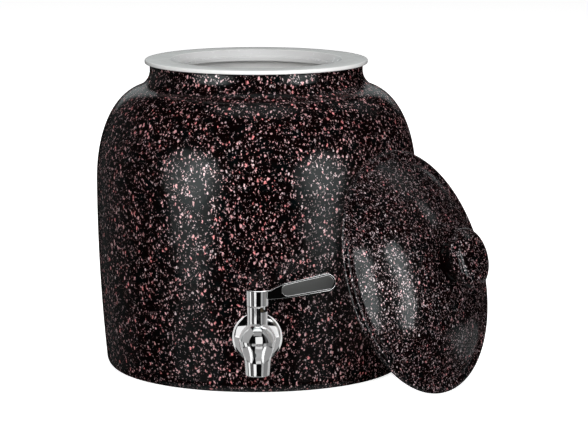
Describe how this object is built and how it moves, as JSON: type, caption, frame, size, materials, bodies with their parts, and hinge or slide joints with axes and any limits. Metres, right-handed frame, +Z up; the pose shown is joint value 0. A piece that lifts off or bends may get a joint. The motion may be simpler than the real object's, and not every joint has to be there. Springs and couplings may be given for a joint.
{
  "type": "water crock dispenser with tap",
  "caption": "Glazed ceramic water crock with a bottle ring in its mouth, a quarter-turn tap low on the front, and its knobbed lid taken off and leaning on its side.",
  "frame": {"origin": "middle of the crock's flat base, on the surface that it stands on", "axes": "+Z up along the crock's axis; the tap is on the front, towards -Y; the closed lever points to +X; the lid leans on the front right"},
  "size_m": [0.3273, 0.3208, 0.2601],
  "materials": {
    "crock_glaze": "gloss black with pink and pale speckles, white inside",
    "lid_glaze": "gloss black with fine pink and pale speckles",
    "ring_plastic": "gloss white",
    "polished_metal": "mirror polished",
    "insert_plastic": "satin dark grey",
    "plain_steel": "turned",
    "silicone": "matt translucent white",
    "black_rubber": "matt",
    "brass": "turned",
    "disc_ceramic": "lapped",
    "glide_plastic": "natural acetal"
  },
  "bodies": {
    "pot": {"crock": "crock_glaze", "tap_body": "polished_metal", "tap_escutcheon": "polished_metal", "outer_seal_washer": "silicone", "inner_seal_washer": "silicone", "clamp_washer": "plain_steel", "lock_nut": "plain_steel", "seat_seal": "silicone", "fixed_disc": "disc_ceramic", "cartridge_body": "brass", "cartridge_o_ring": "black_rubber", "gland_nut": "brass"},
    "ring": {"bottle_ring": "ring_plastic"},
    "lid": {"lid": "lid_glaze"},
    "lever": {"tap_lever": "polished_metal", "lever_insert": "insert_plastic", "grub_screw": "plain_steel", "spindle": "brass", "spindle_o_rings": "black_rubber", "moving_disc": "disc_ceramic", "glide_washer": "glide_plastic"}
  },
  "joints": [
    {"name": "lever_turn", "type": "hinge", "parent": "pot", "child": "lever", "pos_m": [0, -0.16439, 0.0872], "axis": [0, 0, 1], "range_deg": [-90, 0]},
    {"name": "ring_lift", "type": "slide", "parent": "pot", "child": "ring", "axis": [0, 0, 1], "range_m": [0, 0.06]},
    {"name": "lid_lift", "type": "slide", "parent": "pot", "child": "lid", "axis": [0.2042, -0.159, 0.9659], "range_m": [0, 0.3]}
  ]
}
